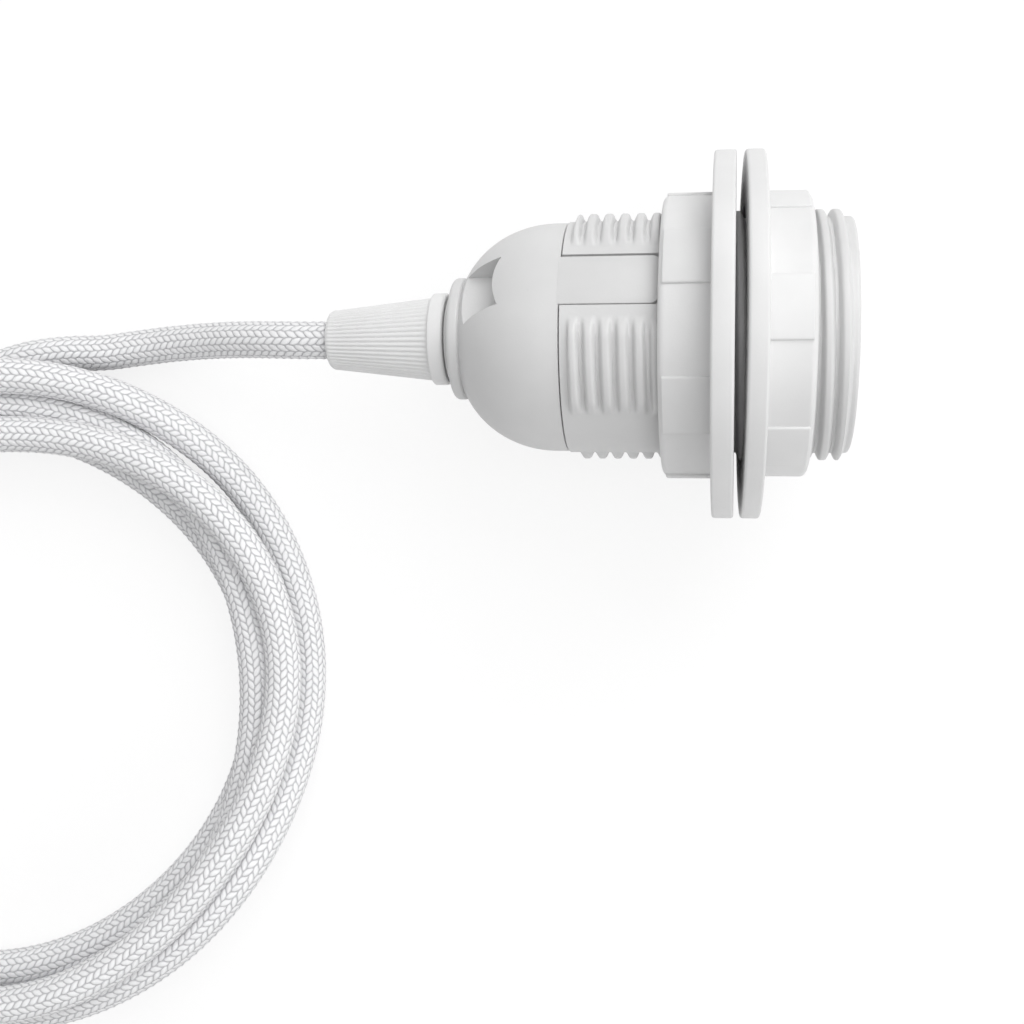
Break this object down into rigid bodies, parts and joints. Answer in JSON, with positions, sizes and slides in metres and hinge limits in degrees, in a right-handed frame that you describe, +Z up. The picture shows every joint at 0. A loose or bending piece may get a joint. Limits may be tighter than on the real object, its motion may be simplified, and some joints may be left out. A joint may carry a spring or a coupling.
{
  "type": "pendant cord set",
  "caption": "White screw-cap lampholder with threaded shade rings, ribbed cord grip and a coiled braided textile cord that ends in a flat mains plug.",
  "frame": {"origin": "on the surface it lies on, under the middle of the lampholder's box, cord and plug left out", "axes": "+X from the cord grip towards the lampholder's mouth, +Z up from the surface"},
  "size_m": [0.2231, 0.208, 0.0583],
  "materials": {
    "holder_plastic": "satin moulded thermoplastic",
    "ring_plastic": "satin moulded thermoplastic",
    "grip_plastic": "satin moulded thermoplastic",
    "block_plastic": "matt moulded insulator",
    "plug_plastic": "soft moulded vinyl",
    "contact_brass": "stamped brass",
    "plated_steel": "nickel plated",
    "textile_braid": "braided white textile",
    "live_insulation": "brown core insulation",
    "neutral_insulation": "blue core insulation"
  },
  "bodies": {
    "root": {"cord_grip": "grip_plastic", "grip_collet": "block_plastic", "cap": "holder_plastic", "barrel": "holder_plastic", "contact_block": "block_plastic", "screw_shell": "contact_brass", "centre_contact": "contact_brass", "side_contact": "contact_brass", "live_clamp": "contact_brass", "neutral_clamp": "contact_brass", "live_clamp_screw": "plated_steel", "neutral_clamp_screw": "plated_steel", "cable_inside": "textile_braid", "live_core": "live_insulation", "neutral_core": "neutral_insulation", "cord_lead": "textile_braid", "cord_coil": "textile_braid", "cord_tail": "textile_braid", "plug_body": "plug_plastic", "plug_strain_relief": "plug_plastic", "plug_pin_left": "plated_steel", "plug_pin_right": "plated_steel", "pin_sleeve_left": "plug_plastic", "pin_sleeve_right": "plug_plastic"},
    "rear_ring": {"rear_shade_ring": "ring_plastic"},
    "front_ring": {"front_shade_ring": "ring_plastic"}
  },
  "joints": [
    {"name": "rear_ring_travel", "type": "slide", "parent": "root", "child": "rear_ring", "axis": [0.989, 0, 0.1478], "range_m": [-0.0115, 0]},
    {"name": "front_ring_travel", "type": "slide", "parent": "root", "child": "front_ring", "axis": [0.989, 0, 0.1478], "range_m": [0, 0.0165]}
  ]
}
